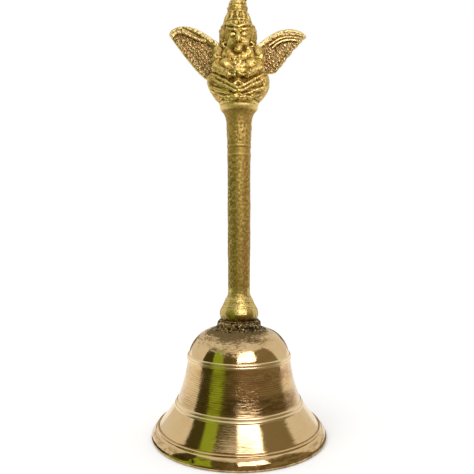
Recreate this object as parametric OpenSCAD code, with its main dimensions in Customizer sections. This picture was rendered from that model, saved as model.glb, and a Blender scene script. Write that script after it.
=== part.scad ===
// Brass puja hand bell: a turned bell cup, a cast handle with a winged kneeling
// figure, and a clapper that hangs inside on a small ring.
// Frame: +Z up, origin at the centre of the rim plane, the figure faces -Y.

/* [Bell cup] */
// Outer radius of the flare where it meets the lip
mouth_r = 30.1; // [29.5:0.1:30.5]
// Height of the crown's flat top above the rim
cup_h = 40.3; // [40:0.1:41]
// Outer radius at the waist
waist_r = 19.4; // [19:0.1:19.7]
// Thickness of the crown
crown_t = 2.4; // [2:0.1:2.6]

/* [Handle] */
// Height of the handle's foot above the rim
foot_z = 43.4; // [43:0.1:43.6]
// Height of the handle's top seat above the rim
seat_z = 124.6; // [124:0.1:125]
// Radius of the grip
grip_r = 4.2; // [4:0.05:4.4]
// Radius of the foot's bulb
bulb_r = 7.1; // [7:0.05:7.3]

/* [Winged figure] */
// Half width of the seat below the crossed legs
seat_w = 11.8; // [11:0.1:12.5]
// Thickness of a wing's web
wing_t = 2.2; // [1.8:0.1:2.6]
// Height that the wing's rolled leading edge stands proud
roll_t = 0.9; // [0.5:0.1:1.2]

/* [Clapper] */
// Radius of the clapper's ball
ball_r = 6.5; // [6:0.1:6.5]
// Height of the ball's centre above the rim
ball_z = 8.8; // [8.5:0.1:9.5]
// Mean radius of the link ring
link_r = 3.2; // [3.1:0.05:3.3]

/* [Hidden] */
$fn = 96;

fit = 0.05;                 // radial clearance of each seat and of each link
lip_flat = [30.2, 32.2];    // inner and outer radius of the flat ring that the bell stands on
stud_r = 2.0;               // M4 stud's nominal radius
thread_pitch = 0.7;
boss_r = [8.5, 8.2];        // radius of the boss at its foot and at its top
seat_r = 7.1;               // radius of the handle's top seat
spigot_r = 3.0;
spigot_l = 6;

// the hanging chain: each height follows from the crown's inner face
inner_z = cup_h - crown_t;
washer_t = 0.5;
nut_h = 2.2;
nut_af = 7;
bolt_eye_r = 2.6;           // mean radius of the bolt's eye
bolt_wire_r = 1.0;
link_wire_r = 0.7;
rod_eye_r = 2.2;            // mean radius of the clapper's eye
rod_wire_r = 0.9;
rod_r = 1.3;
eye_z = inner_z - washer_t - nut_h - bolt_eye_r - bolt_wire_r - fit;
swing_z = eye_z - bolt_eye_r;                                   // axis of the swing
link_z = swing_z + bolt_wire_r + link_wire_r + fit - link_r;    // the ring's centre
rock_z = link_z - link_r;                                       // axis of the rock
rod_eye_z = rock_z + link_wire_r + rod_wire_r + fit - rod_eye_r;

// The point at share t of a cubic curve with ends a and d and handles b and c
function curve_point(a, b, c, d, t) = let (s = 1 - t)
    s * s * s * a + 3 * s * s * t * b + 3 * s * t * t * c + t * t * t * d;

function curve(a, b, c, d, n = 12) = [for (i = [0:n]) curve_point(a, b, c, d, i / n)];

// ---------- bell cup ----------

// The flare is almost a cone from the lip's step up to a bend, the waist runs from there to the
// shoulder, and the dome from the shoulder to the crown
bend = [23.7, 13.2];
shoulder = [waist_r, 30.2];
FLARE = [[mouth_r, 4.7], [27.7, 7.65], [25.45, 10.65], bend];
WAIST = [bend, [21.3, 18.2], [waist_r + 0.2, 25.2], shoulder];
DOME = [shoulder, [waist_r - 0.15, 31.8], [16.9, cup_h - 0.5], [9, cup_h]];
WALL = [[waist_r - 2.2, 30.8], [waist_r - 1.9, 21], [21.3, 10.2], [mouth_r - 1.9, 3.2]];

function cup_outside() = concat(
    curve([lip_flat[1], 0], [lip_flat[1] + 1.1, 0], [33.6, 2.0], [mouth_r + 0.9, 4.3], 10),
    curve(FLARE[0], FLARE[1], FLARE[2], FLARE[3], 8),
    curve(WAIST[0], WAIST[1], WAIST[2], WAIST[3], 16),
    curve(DOME[0], DOME[1], DOME[2], DOME[3], 16)
);

function cup_inside() = concat(
    [[0, inner_z]],
    curve([8, inner_z], [12.6, inner_z - 0.3], [waist_r - 3, 35.6], [waist_r - 2.2, 31.2], 12),
    curve(WALL[0], WALL[1], WALL[2], WALL[3], 24),
    [[lip_flat[0] - 0.5, 0.8], [lip_flat[0], 0]]
);

bead_r = 0.75;              // radius of each thin bead
bead_sunk = 0.5;            // how deep a bead's centre lies under the surface

// Two thin beads that touch, turned on the cup's outside; the surface leans inwards by lean there
module turned_beads(middle, lean) {
    along = [-sin(lean), cos(lean)];
    inward = [-along[1], along[0]];
    for (side = [-1, 1])
        rotate_extrude()
            translate(middle + side * 0.52 * along + bead_sunk * inward)
                circle(r = bead_r, $fn = 24);
}

module bell_cup() {
    color("#c9a05f")
        difference() {
            union() {
                rotate_extrude()
                    polygon(concat(cup_outside(), [[0, cup_h]], cup_inside()));
                turned_beads(bend, 28);
                turned_beads(shoulder, 2);
            }
            translate([0, 0, inner_z - 1])
                cylinder(r = stud_r + 0.2, h = crown_t + 2);
        }
}

// Rough cast boss that stands between the cup and the handle
module crown_boss() {
    color("#5a4a2c")
        difference() {
            rotate_extrude()
                polygon([
                    [0, cup_h], [boss_r[0], cup_h], [boss_r[0] + 0.2, cup_h + 0.6],
                    [boss_r[1], foot_z - 0.6], [boss_r[1] - 0.6, foot_z], [0, foot_z]
                ]);
            translate([0, 0, cup_h - 1])
                cylinder(r = stud_r + 0.2, h = foot_z - cup_h + 2);
        }
}

// Fillet of brazing metal where the boss stands on the cup
module crown_braze() {
    color("#4a3a22")
        rotate_extrude()
            polygon([
                [boss_r[0], cup_h], [9.0, cup_h], [10.4, cup_h - 0.17], [9.6, cup_h + 0.15],
                [boss_r[0] + 0.35, cup_h + 0.6], [boss_r[0] + 0.2, cup_h + 0.6]
            ]);
}

// Bead of brazing metal in the groove between the boss and the handle's foot
module neck_braze() {
    color("#4a3a22")
        rotate_extrude()
            polygon([
                [6.4, foot_z], [boss_r[1] - 0.6, foot_z], [boss_r[1] - 0.7, foot_z + 0.3],
                [7.0, foot_z + 0.6], [6.75, foot_z + 0.55]
            ]);
}

// ---------- handle ----------

function handle_outline() = concat(
    [[0, foot_z], [6.4, foot_z]],
    curve([6.75, foot_z + 0.55], [bulb_r + 0.15, foot_z + 1.4], [bulb_r + 0.3, foot_z + 2.8], [6.55, foot_z + 3.9], 12),
    [[6.1, foot_z + 4.8], [5.75, foot_z + 5.4], [5.72, foot_z + 5.7], [5.2, foot_z + 6.6]],
    [[4.95, foot_z + 7.1], [5.0, foot_z + 7.4], [4.8, foot_z + 7.8], [4.5, foot_z + 8.5], [grip_r, foot_z + 9.8]],
    [[grip_r, 70], [grip_r + 0.08, 87], [grip_r + 0.16, 105.2]],
    [[grip_r + 0.36, 105.6], [grip_r + 0.36, 106.1], [grip_r + 0.18, 106.5]],
    [[grip_r + 0.22, 108.5], [grip_r + 0.55, 108.9], [grip_r + 0.6, 109.4], [grip_r + 0.36, 109.9]],
    [[grip_r + 0.45, 113]],
    curve([grip_r + 0.45, 117.4], [grip_r + 0.6, 120], [grip_r + 1.6, 122.4], [seat_r, seat_z - 0.4], 12),
    [[seat_r - 0.1, seat_z], [0, seat_z]]
);

module handle() {
    color("#a8893c")
        difference() {
            rotate_extrude()
                polygon(handle_outline());
            translate([0, 0, foot_z - 1])
                cylinder(r = stud_r, h = 11);
            translate([0, 0, seat_z - spigot_l - 0.2])
                cylinder(r = spigot_r + fit, h = spigot_l + 1);
        }
}

// ---------- winged figure ----------

// A solid through oval sections, each [height, half width, half depth]
module oval_stack(sections, sides = 32) {
    n = len(sections);
    points = [
        for (s = sections) for (i = [0:sides - 1])
            [s[1] * cos(360 * i / sides), s[2] * sin(360 * i / sides), s[0]]
    ];
    walls = [
        for (k = [0:n - 2]) for (i = [0:sides - 1]) let (j = (i + 1) % sides)
            [k * sides + i, (k + 1) * sides + i, (k + 1) * sides + j, k * sides + j]
    ];
    bottom = [for (i = [0:sides - 1]) i];
    top = [for (i = [sides - 1:-1:0]) (n - 1) * sides + i];
    polyhedron(points = points, faces = concat([bottom], walls, [top]));
}

// A limb that tapers from ball a to ball b
module limb(a, ra, b, rb) {
    hull() {
        translate(a) sphere(r = ra, $fn = 20);
        translate(b) sphere(r = rb, $fn = 20);
    }
}

module seat() {
    oval_stack([
        [seat_z, seat_r, seat_r], [seat_z + 1.2, seat_r + 0.7, seat_r + 0.5], [seat_z + 2.4, 8.8, 7.6],
        [seat_z + 4, 10.2, 8.1], [seat_z + 5.5, seat_w - 0.8, 8.3], [seat_z + 7, seat_w - 0.2, 8.3],
        [seat_z + 8.5, seat_w, 8.0], [seat_z + 11.4, seat_w, 7.0], [seat_z + 12.7, seat_w - 1.4, 6]
    ]);
}

module crossed_legs() {
    for (side = [-1, 1])
        limb([side * 8.6, -3.2, 134.4], 3.0, [-side * 1.8, -7.6, 129.4], 2.2);
}

module torso() {
    hull() {
        translate([0, 0.3, 137]) sphere(r = 6.4, $fn = 20);
        for (side = [-1, 1])
            translate([side * 5.2, 0.8, 144.8]) sphere(r = 3.4, $fn = 20);
    }
}

module arms() {
    for (side = [-1, 1]) {
        limb([side * 7.6, -0.4, 145.6], 2.4, [side * 8.0, -3.4, 138.4], 2.0);
        limb([side * 8.0, -3.4, 138.4], 2.0, [side * 1.2, -7.4, 139.2], 1.5);
    }
    limb([0, -7.4, 138.2], 1.8, [0, -7.4, 142.4], 0.9);
}

module head() {
    hull() {
        translate([0, 0, 151.8]) sphere(r = 6.6, $fn = 20);
        translate([0, -2.6, 148]) sphere(r = 3.6, $fn = 20);
    }
    limb([0, -6.2, 151], 1.5, [0, -8.0, 147.9], 0.6);
}

module crown() {
    rotate_extrude($fn = 48)
        polygon([
            [0, 153.4], [6.4, 153.4], [6.7, 154.4], [6.4, 155.8], [5.3, 156.6], [5.1, 157.2],
            [4.9, 159.8], [4.4, 160.3], [4.2, 160.6], [4.1, 162.6], [4.3, 163.0], [4.0, 163.6],
            [3.3, 163.8], [3.2, 165.0], [2.3, 166.0], [0, 166.4]
        ]);
}

module figure_spigot() {
    translate([0, 0, seat_z - spigot_l])
        cylinder(r = spigot_r, h = spigot_l + 1, $fn = 48);
}

module winged_figure() {
    color("#b8973c")
        difference() {
            union() {
                figure_spigot();
                seat();
                crossed_legs();
                torso();
                arms();
                head();
                crown();
            }
            wing_slot(LEFT_WING);
            wing_slot(RIGHT_WING);
        }
}

// Each wing's outline: root top, crest, tip, tail and root bottom, as [x, z]
LEFT_WING = [[-6.0, 147.0], [-20.6, 155.4], [-26.8, 152.2], [-12.4, 135.4], [-6.0, 136.4]];
RIGHT_WING = [[6.0, 146.6], [18.7, 154.3], [25.6, 151.2], [13.9, 138.0], [6.0, 137.2]];

function wing_outline(w) = let (side = sign(w[1][0])) concat(
    curve(w[0], w[0] + [side * 4, 3.2], w[1] - [side * 5, 0.2], w[1], 8),
    curve(w[1], w[1] + [side * 3.4, 0.1], w[2] + [side * -0.4, 1.8], w[2], 8),
    curve(w[2], w[2] - [side * 0.6, 1.6], w[3] + [side * 3, 3.4], w[3], 6),
    [w[4]]
);

wing_y = 1.6;               // front of the wing's web
roll_w = 2.6;               // width of the rolled leading edge
roll_x = 11;                // the roll starts this far from the axis
roll_z = 150;               // and ends at this height

module wing_web(w, grow = 0) {
    translate([0, wing_y + wing_t + grow, 0])
        rotate([90, 0, 0])
            linear_extrude(wing_t + 2 * grow)
                polygon(wing_outline(w));
}

// The part of the figure that a wing's root fills
module wing_slot(w) {
    wing_web(w, fit);
}

module wing_roll(w) {
    side = sign(w[1][0]);
    reach = 30;
    translate([0, wing_y, 0])
        rotate([90, 0, 0])
            linear_extrude(roll_t)
                difference() {
                    polygon(wing_outline(w));
                    translate([-side * 0.8, -roll_w]) polygon(wing_outline(w));
                    translate([-roll_x, roll_z - reach]) square([2 * roll_x, 2 * reach]);
                    translate([-reach, roll_z - reach]) square([2 * reach, reach]);
                }
}

module wing(w) {
    color("#a07f3a") {
        wing_web(w);
        wing_roll(w);
    }
}

module left_wing() { wing(LEFT_WING); }
module right_wing() { wing(RIGHT_WING); }

// ---------- hanger and clapper ----------

// A ring of round wire that lies in the XY plane
module wire_ring(mean_r, wire_r) {
    rotate_extrude()
        translate([mean_r, 0]) circle(r = wire_r, $fn = 32);
}

function thread_outline(low, high) = concat(
    [[0, low], [stud_r - 0.45, low]],
    [
        for (z = [low + 0.2:thread_pitch:high - thread_pitch - 0.2])
            each [[stud_r - 0.45, z], [stud_r - fit, z + 0.3], [stud_r - fit, z + 0.4]]
    ],
    [[stud_r - 0.45, high - 0.3], [stud_r - 0.9, high], [0, high]]
);

module eye_bolt() {
    color("#8d8d88") {
        translate([0, 0, eye_z]) rotate([0, 90, 0]) wire_ring(bolt_eye_r, bolt_wire_r);
        rotate_extrude($fn = 48)
            polygon(thread_outline(eye_z + bolt_eye_r, foot_z + 9));
    }
}

module crown_washer() {
    color("#9a9a94")
        translate([0, 0, inner_z - washer_t])
            difference() {
                cylinder(r = 4.6, h = washer_t);
                translate([0, 0, -1]) cylinder(r = stud_r + 0.15, h = washer_t + 2);
            }
}

module jam_nut() {
    color("#8d8d88")
        translate([0, 0, inner_z - washer_t - nut_h])
            difference() {
                intersection() {
                    cylinder(r = nut_af / 2 / cos(30), h = nut_h, $fn = 6);
                    rotate_extrude()
                        polygon([
                            [0, 0], [nut_af / 2 - 0.1, 0], [nut_af / 2 + 0.6, 0.4],
                            [nut_af / 2 + 0.6, nut_h - 0.4], [nut_af / 2 - 0.1, nut_h], [0, nut_h]
                        ]);
                }
                translate([0, 0, -1]) cylinder(r = stud_r, h = nut_h + 2);
            }
}

module link_ring() {
    color("#b8b08a")
        translate([0, 0, link_z]) rotate([90, 0, 0]) wire_ring(link_r, link_wire_r);
}

module clapper_rod() {
    color("#b08d45") {
        translate([0, 0, rod_eye_z]) rotate([0, 90, 0]) wire_ring(rod_eye_r, rod_wire_r);
        rotate_extrude($fn = 48)
            polygon([
                [0, ball_z - ball_r - 0.6], [1.2, ball_z - ball_r - 0.6], [1.9, ball_z - ball_r - 0.1],
                [rod_r - fit, ball_z - ball_r + 0.8], [rod_r - fit, ball_z + ball_r - 0.1],
                [rod_r + 0.3, ball_z + ball_r + 0.3], [rod_r, ball_z + ball_r + 1.0],
                [rod_r - 0.2, rod_eye_z - rod_eye_r - 0.6], [0, rod_eye_z - rod_eye_r + 0.3]
            ]);
    }
}

module clapper_ball() {
    color("#b9934a")
        difference() {
            translate([0, 0, ball_z]) sphere(r = ball_r);
            rotate_extrude($fn = 48)
                polygon([
                    [0, ball_z - ball_r - 1], [2.8, ball_z - ball_r - 1], [2.1, ball_z - ball_r - 0.1],
                    [rod_r, ball_z - ball_r + 0.9], [rod_r, ball_z + ball_r - 0.3],
                    [rod_r + 1.2, ball_z + ball_r + 0.8], [0, ball_z + ball_r + 0.8]
                ]);
        }
}

bell_cup();
crown_boss();
crown_braze();
neck_braze();
handle();
winged_figure();
left_wing();
right_wing();
eye_bolt();
crown_washer();
jam_nut();
link_ring();
clapper_rod();
clapper_ball();
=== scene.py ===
"""The looks of the brass puja hand bell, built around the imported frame."""

import math

import bpy
import numpy as np
import openvdb
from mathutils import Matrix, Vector


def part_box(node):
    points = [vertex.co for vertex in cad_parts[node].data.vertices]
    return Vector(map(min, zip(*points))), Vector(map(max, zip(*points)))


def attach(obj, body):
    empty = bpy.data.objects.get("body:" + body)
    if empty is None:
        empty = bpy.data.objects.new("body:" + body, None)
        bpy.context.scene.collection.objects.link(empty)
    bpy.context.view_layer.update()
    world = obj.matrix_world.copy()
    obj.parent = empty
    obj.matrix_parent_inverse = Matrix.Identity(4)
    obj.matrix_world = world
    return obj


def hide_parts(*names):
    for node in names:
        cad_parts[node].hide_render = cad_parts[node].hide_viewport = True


MM = 0.001
TURN = 2 * math.pi
SIDES = (-1, 1)

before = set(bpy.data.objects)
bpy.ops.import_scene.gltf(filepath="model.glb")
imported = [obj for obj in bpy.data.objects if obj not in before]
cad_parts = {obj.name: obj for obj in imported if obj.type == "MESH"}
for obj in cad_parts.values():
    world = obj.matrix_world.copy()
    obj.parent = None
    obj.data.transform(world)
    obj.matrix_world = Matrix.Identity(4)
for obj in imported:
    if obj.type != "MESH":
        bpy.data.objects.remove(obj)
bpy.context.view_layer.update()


def box_of(node):
    """The lowest and the highest corner of a CAD node, in mm."""
    low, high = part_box(node)
    return np.array(low) / MM, np.array(high) / MM


LIP_R, _, CUP_H = box_of("bell_cup")[1]
FOOT_Z, SEAT_Z = (corner[2] for corner in box_of("handle"))
SPIGOT_Z, TOP_Z = (corner[2] for corner in box_of("winged_figure"))


# ---------- numbers on points ----------

def lumps(points, size, seed):
    """Smooth noise from -1 to 1 at each point, in lumps about size mm across."""
    table = np.random.default_rng(seed).uniform(-1, 1, 4096)
    p = np.asarray(points) / size
    cell = np.floor(p).astype(np.int64)
    share = p - cell
    share = share * share * (3 - 2 * share)
    total = np.zeros(len(p))
    for corner in np.ndindex(2, 2, 2):
        mixed = (cell + corner) @ np.array([73856093, 19349663, 83492791])
        weight = np.where(corner, share, 1 - share).prod(axis=1)
        total += table[(mixed ^ (mixed >> 13)) & 4095] * weight
    return total


def grain(points, size, seed, octaves=3):
    """Noise with finer and fainter lumps on the larger ones."""
    return sum(lumps(points, size / 2 ** k, seed + k) / 2 ** k for k in range(octaves))


def smoothstep(value, start, end):
    share = np.clip((value - start) / (end - start), 0, 1)
    return share * share * (3 - 2 * share)


def hump(value):
    """A bell-shaped curve: 1 at 0, and almost nothing beyond 2."""
    return np.exp(-value ** 2)


def dome(value):
    """A half circle: 1 at 0, and 0 from 1 on."""
    return np.sqrt(np.clip(1 - value ** 2, 0, 1))


def cubic(a, b, c, d, count):
    """Points along a cubic curve with ends a and d and handles b and c."""
    t = np.linspace(0, 1, count)[:, None]
    s = 1 - t
    shares = (s ** 3, 3 * s * s * t, 3 * s * t * t, t ** 3)
    return sum(share * np.array(point) for share, point in zip(shares, (a, b, c, d)))


def resampled(outline, step, closed=False):
    """The same outline with its points no further than step apart."""
    outline = np.asarray(outline, float)
    if closed:
        return resampled([*outline, outline[0]], step)[:-1]
    rows = [outline[:1]]
    for a, b in zip(outline, outline[1:]):
        count = max(1, math.ceil(np.linalg.norm(b - a) / step))
        rows.append(a + (b - a) * np.linspace(0, 1, count + 1)[1:, None])
    return np.concatenate(rows)


def point_normals(points, faces):
    """Unit normals at the points of a mesh of four-sided faces."""
    corners = points[faces]
    across = np.cross(corners[:, 2] - corners[:, 0], corners[:, 3] - corners[:, 1])
    ends = faces.ravel()
    total = np.stack([np.bincount(ends, np.repeat(across[:, k], 4), len(points)) for k in range(3)], axis=1)
    return total / np.maximum(np.linalg.norm(total, axis=1, keepdims=True), 1e-12)


def hollows(points, faces, rounds):
    """How deep each point lies in a hollow, or stands out where negative, in mm."""
    ends = np.concatenate([faces.ravel(), np.roll(faces, 1, axis=1).ravel()])
    others = np.concatenate([np.roll(faces, 1, axis=1).ravel(), faces.ravel()])
    count = np.maximum(np.bincount(ends, minlength=len(points)), 1)
    smooth = points.copy()
    for _ in range(rounds):
        near = [np.bincount(ends, smooth[others, k], len(points)) / count for k in range(3)]
        smooth = (smooth + np.stack(near, axis=1)) / 2
    return ((smooth - points) * point_normals(points, faces)).sum(axis=1)


def rough(points, faces, amount, size, seed, keep=1):
    """The rough skin of a sand casting: lumps of several sizes and small pits."""
    height = amount * grain(points, size, seed, 3)
    height = height - amount * 1.1 * smoothstep(lumps(points, size * 0.45, seed + 9), 0.45, 0.85)
    return points + point_normals(points, faces) * (height * keep)[:, None]


# ---------- turned forms ----------

def turned(outline, sides, closed=False):
    """Points and four-sided faces of an outline of (r, z) points turned about Z."""
    outline = np.asarray(outline, float)
    angle = np.arange(sides) * TURN / sides
    r, z = outline[:, :1], outline[:, 1:]
    points = np.stack([r * np.cos(angle), r * np.sin(angle), z + 0 * angle], axis=2).reshape(-1, 3)
    rows = len(outline) if closed else len(outline) - 1
    k, i = np.meshgrid(np.arange(rows), np.arange(sides), indexing="ij")
    after, beside = (k + 1) % len(outline), (i + 1) % sides
    faces = np.stack([k * sides + i, k * sides + beside, after * sides + beside, after * sides + i], axis=2)
    return points, faces.reshape(-1, 4)


def caps(points, sides):
    """The flat faces that close both ends of a turned form."""
    last = len(points) - sides
    return [list(range(sides - 1, -1, -1)), list(range(last, last + sides))]


def radius_of(points):
    """Each point's distance from the axis."""
    return np.hypot(points[:, 0], points[:, 1])


def widened(points, scale):
    """The same points, moved away from the axis by a scale of their own."""
    return points * np.stack([scale, scale, np.ones_like(scale)], axis=1)


def scattered(rng, count, heights, reach_at, widths, depths, lift=0.0):
    """Spots round a turned form whose radius at a height is reach_at(height), each (place, width, depth)."""
    spots = []
    for _ in range(count):
        angle, height = rng.uniform(0, TURN), rng.uniform(*heights)
        reach = reach_at(height)
        place = (reach * math.cos(angle), reach * math.sin(angle), lift + height)
        spots.append((place, rng.uniform(*widths), rng.uniform(*depths)))
    return spots


def dented(points, normals, spots):
    """Pushes small dents into a surface; each spot is (place, width, depth)."""
    for place, width, depth in spots:
        gap = np.linalg.norm(points - np.array(place), axis=1) / width
        points = points - normals * (depth * hump(gap))[:, None]
    return points


# ---------- clay: forms made by adding and cutting ----------

class Clay:
    """A block of small cells that hold the distance to the surface in mm, negative inside."""

    FAR = 2.0

    def __init__(self, low, high, step):
        self.step = step
        self.low = np.array(low, float)
        self.axes = [np.arange(a, b, step) for a, b in zip(low, high)]
        self.d = np.full([len(a) for a in self.axes], self.FAR, np.float32)

    def part(self, low, high, margin):
        """The cells between two corners, and their coordinates."""
        cells = []
        for axis, a, b in zip(self.axes, low, high):
            first = int((a - margin - axis[0]) / self.step)
            last = int((b + margin - axis[0]) / self.step) + 2
            cells.append(slice(max(first, 0), min(max(last, 0), len(axis))))
        x, y, z = (axis[c] for axis, c in zip(self.axes, cells))
        return tuple(cells), x[:, None, None], y[None, :, None], z[None, None, :]

    def add(self, shape, blend, sign=1):
        """Joins a shape to the clay with a soft seam blend mm wide, or takes it away if sign is -1."""
        distance, low, high = shape
        cells, x, y, z = self.part(low, high, blend + 2 * self.step)
        self.d[cells] = sign * smooth_min(sign * self.d[cells], distance(x, y, z), blend)

    def cut(self, shape, blend):
        self.add(shape, blend, -1)

    def ball(self, centre, radii, blend):
        self.add(ball(centre, radii), blend)

    def limb(self, a, ra, b, rb, blend):
        self.add(limb(a, ra, b, rb), blend)

    def tube(self, path, thick, blend):
        self.add(tube(path, thick), blend)

    def dig(self, centre, radii, blend):
        self.cut(ball(centre, radii), blend)

    def skin(self):
        """Points in mm and four-sided faces of the surface."""
        grid = openvdb.FloatGrid(self.FAR)
        grid.copyFromArray(np.clip(self.d, -self.FAR, self.FAR), tolerance=0)
        points, faces = grid.convertToQuads(0.0)
        return points.astype(float) * self.step + self.low, faces.astype(np.int64)


def smooth_min(a, b, blend):
    """The lesser of two distances, with the step between them rounded over blend mm."""
    if blend <= 0:
        return np.minimum(a, b)
    h = np.clip(0.5 + (b - a) / (2 * blend), 0, 1)
    return b + (a - b) * h - blend * h * (1 - h)


def ball(centre, radii):
    """A ball, or an ellipsoid with three radii."""
    c = np.array(centre, float)
    r = np.array(radii, float) * np.ones(3)

    def distance(x, y, z):
        u, v, w = (x - c[0]) / r[0], (y - c[1]) / r[1], (z - c[2]) / r[2]
        k = np.sqrt(u * u + v * v + w * w)
        slope = np.sqrt((u / r[0]) ** 2 + (v / r[1]) ** 2 + (w / r[2]) ** 2)
        return k * (k - 1) / np.maximum(slope, 1e-6)

    return distance, c - r, c + r


def limb(a, ra, b, rb):
    """A round-ended rod from a to b that tapers from radius ra to rb."""
    a, b = np.array(a, float), np.array(b, float)
    span = b - a

    def distance(x, y, z):
        px, py, pz = x - a[0], y - a[1], z - a[2]
        t = np.clip((px * span[0] + py * span[1] + pz * span[2]) / (span @ span), 0, 1)
        gap = (px - t * span[0]) ** 2 + (py - t * span[1]) ** 2 + (pz - t * span[2]) ** 2
        return np.sqrt(gap) - (ra + t * (rb - ra))

    reach = max(ra, rb)
    return distance, np.minimum(a, b) - reach, np.maximum(a, b) + reach


def tube(path, thick):
    """A round rod along a path; thick is its radius, or one radius per point."""
    path = np.asarray(path, float)
    thick = np.broadcast_to(thick, len(path))
    rods = [limb(path[k], thick[k], path[k + 1], thick[k + 1])[0] for k in range(len(path) - 1)]

    def distance(x, y, z):
        least = rods[0](x, y, z)
        for rod in rods[1:]:
            least = np.minimum(least, rod(x, y, z))
        return least

    return distance, path.min(axis=0) - thick.max(), path.max(axis=0) + thick.max()


def torus(centre, mean_r, wire_r, axis):
    """A ring of round wire about the axis "x", "y" or "z"."""
    c = np.array(centre, float)
    along = "xyz".index(axis)
    reach = np.full(3, mean_r + wire_r)
    reach[along] = wire_r

    def distance(x, y, z):
        p = [x - c[0], y - c[1], z - c[2]]
        across = [q for k, q in enumerate(p) if k != along]
        flat = np.sqrt(across[0] ** 2 + across[1] ** 2) - mean_r
        return np.sqrt(flat * flat + p[along] ** 2) - wire_r

    return distance, c - reach, c + reach


def oval_stack(rows, shift=0.0):
    """A solid through oval sections, each (height, half width, half depth), moved sideways by shift."""
    heights, widths, depths = np.array(rows, float).T

    def distance(x, y, z):
        a, b = np.interp(z, heights, widths), np.interp(z, heights, depths)
        side = (np.sqrt(((x - shift) / a) ** 2 + (y / b) ** 2) - 1) * np.minimum(a, b)
        return np.maximum(side, np.maximum(heights[0] - z, z - heights[-1]))

    corner = np.array([widths.max() + abs(shift), depths.max()])
    return distance, np.array([*-corner, heights[0]]), np.array([*corner, heights[-1]])


# ---------- the winged figure ----------

FIGURE_STEP = 0.21
FIGURE_LEAN = -0.35
CROWN_LEAN = -0.55


def placed(side):
    """Gives points on the figure's left (-1) or right (1); the casting leans a little to its left."""
    return lambda x, y, z: (side * x + FIGURE_LEAN, y, z)


BOTH = [(side, placed(side)) for side in SIDES]


def around(angle, rx, ry, z, centre_x=0.0, centre_y=0.0):
    """A point on an oval round the axis; angle 0 is the front and grows towards +X."""
    return (rx * math.sin(angle) + centre_x, centre_y - ry * math.cos(angle), z)


def hoop(count, rx, ry, z, centre_x=0.0):
    """A closed path of count steps round the axis."""
    return [around(TURN * k / count, rx, ry, z, centre_x) for k in range(count + 1)]


def sculpt_seat(clay):
    """The lotus-like base on the handle's flare, with a rim and folds of cloth over its front."""
    clay.limb((0, 0, SPIGOT_Z + 3.0), 3.0, (0, 0, SEAT_Z + 2), 3.0, 0)
    clay.cut(oval_stack([(SPIGOT_Z - 1, 4, 4), (SPIGOT_Z + 0.2, 4, 4)]), 0)
    rows = [(0, 6.7, 6.7), (1.2, 7.5, 7.1), (2.4, 8.8, 7.4), (4.0, 10.1, 7.8), (5.5, 10.9, 7.9),
            (7.0, 11.5, 7.8), (8.5, 11.6, 7.4), (10.4, 11.3, 6.4), (12.4, 9.8, 5.2)]
    clay.add(oval_stack([(SEAT_Z + height, *half) for height, *half in rows]), 0.4)
    for height, reach, thick in ((0.75, 6.75, 0.72), (2.0, 7.6, 0.36)):
        clay.tube(hoop(48, reach, reach - 0.1, SEAT_Z + height), thick, 0.25)
    for side in SIDES:
        for k in range(4):
            fold = [around(side * (1.25 - 0.1 * k), 11.1 - 0.45 * k, 7.9, 131.6 - 1.25 * k),
                    around(side * (0.8 - 0.07 * k), 10.0 - 0.4 * k, 7.9, 129.6 - 0.95 * k),
                    around(side * (0.25 + 0.02 * k), 9.0 - 0.35 * k, 7.7, 127.9 - 0.65 * k)]
            clay.tube(fold, (0.42, 0.55, 0.4), 0.2)


def pleats(clay, a, ra, b, rb, angles, thick):
    """Cloth pleats that run along a limb from a to b, each at an angle about the limb."""
    a, b = np.array(a, float), np.array(b, float)
    along = (b - a) / np.linalg.norm(b - a)
    front = np.array([0, -1.0, 0])
    front -= along * (front @ along)
    front /= np.linalg.norm(front)
    up = np.cross(along, front)
    up *= math.copysign(1, up[2])
    for angle in angles:
        out = math.cos(angle) * front + math.sin(angle) * up
        middle = (a + b) / 2 + out * ((ra + rb) / 2 + 0.12)
        clay.tube([a + out * ra, middle, b + out * rb], (thick, thick * 1.15, thick * 0.8), 0.14)


def sculpt_legs(clay):
    """Legs that slope down from high knees and cross under pleated cloth, with the feet below."""
    for side, at in BOTH:
        knee, lap = at(8.9, -2.4, 133.9), at(0.2, -7.7, 128.2)
        shin, ankle = at(8.8, -3.2, 130.6), placed(-side)(1.4, -8.0, 125.9)
        clay.limb(knee, 2.5, lap, 1.7, 0.5)
        clay.limb(shin, 2.2, ankle, 1.1, 0.35)
        clay.ball(at(9.0, -2.6, 132.8), (2.4, 3.0, 3.1), 0.9)
        pleats(clay, knee, 2.3, lap, 1.7, (-0.45, 0.3), 0.7)
        pleats(clay, shin, 2.1, ankle, 1.1, (-0.4, 0.35), 0.6)
        clay.limb(at(1.2, -8.2, 125.9), 0.95, at(4.4, -7.6, 125.9), 0.75, 0.25)
        for k in range(3):
            fold = [at(0.3 + 0.5 * k, -8.4, 131.6 - 1.0 * k),
                    at(2.2 + 0.6 * k, -8.3 + 0.2 * k, 130.4 - 1.0 * k),
                    at(4.4 + 0.6 * k, -7.2 + 0.2 * k, 130.9 - 0.9 * k)]
            clay.tube(fold, (0.35, 0.5, 0.35), 0.2)


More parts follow.
